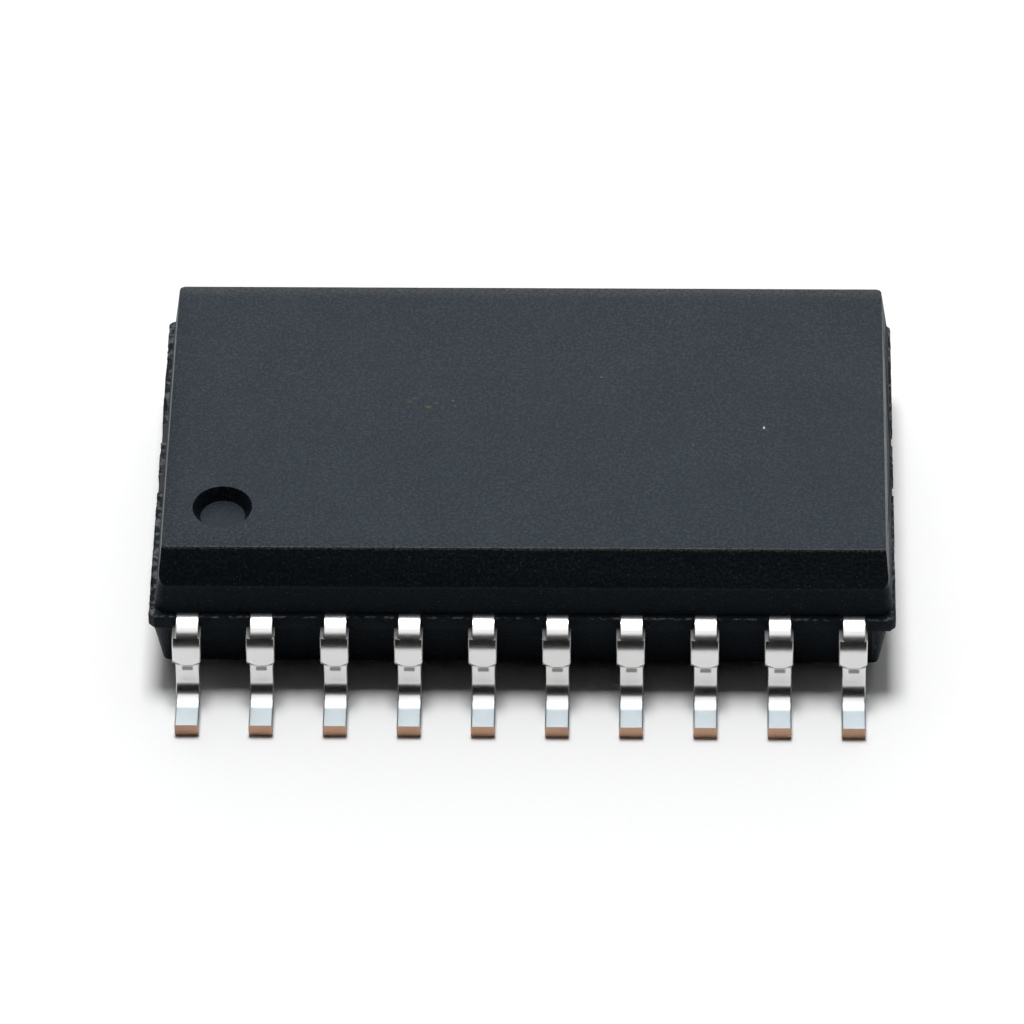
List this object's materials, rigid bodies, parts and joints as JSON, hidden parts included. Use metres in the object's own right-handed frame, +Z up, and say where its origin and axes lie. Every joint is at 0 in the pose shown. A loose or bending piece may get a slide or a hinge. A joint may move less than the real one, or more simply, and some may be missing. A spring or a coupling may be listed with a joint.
{
  "type": "soic chip",
  "caption": "Wide-body small-outline integrated circuit: a black moulded block with a row of tinned gull-wing leads along each long side.",
  "frame": {"origin": "on the seating plane, midway between the two rows of leads and midway along them", "axes": "+X along the rows from lead 1 to lead 10, +Y from the lead 1 row to the other row, +Z up from the board"},
  "size_m": [0.0128, 0.0102, 0.0026],
  "materials": {
    "mould_compound": "matte spark-eroded texture",
    "tinned_lead": "tin plated copper, satin to bright",
    "bare_copper": "rolled copper alloy",
    "attach_paste": "silver-filled epoxy",
    "silicon": "polished",
    "gold_wire": "bright gold"
  },
  "bodies": {
    "root": {"moulded_body": "mould_compound", "die_pad": "bare_copper", "die_attach": "attach_paste", "silicon_die": "silicon", "lead_01": "tinned_lead", "lead_02": "tinned_lead", "lead_03": "tinned_lead", "lead_04": "tinned_lead", "lead_05": "tinned_lead", "lead_06": "tinned_lead", "lead_07": "tinned_lead", "lead_08": "tinned_lead", "lead_09": "tinned_lead", "lead_10": "tinned_lead", "lead_11": "tinned_lead", "lead_12": "tinned_lead", "lead_13": "tinned_lead", "lead_14": "tinned_lead", "lead_15": "tinned_lead", "lead_16": "tinned_lead", "lead_17": "tinned_lead", "lead_18": "tinned_lead", "lead_19": "tinned_lead", "lead_20": "tinned_lead", "bond_wire_01": "gold_wire", "bond_wire_02": "gold_wire", "bond_wire_03": "gold_wire", "bond_wire_04": "gold_wire", "bond_wire_05": "gold_wire", "bond_wire_06": "gold_wire", "bond_wire_07": "gold_wire", "bond_wire_08": "gold_wire", "bond_wire_09": "gold_wire", "bond_wire_10": "gold_wire", "bond_wire_11": "gold_wire", "bond_wire_12": "gold_wire", "bond_wire_13": "gold_wire", "bond_wire_14": "gold_wire", "bond_wire_15": "gold_wire", "bond_wire_16": "gold_wire", "bond_wire_17": "gold_wire", "bond_wire_18": "gold_wire", "bond_wire_19": "gold_wire", "bond_wire_20": "gold_wire"}
  },
  "joints": []
}
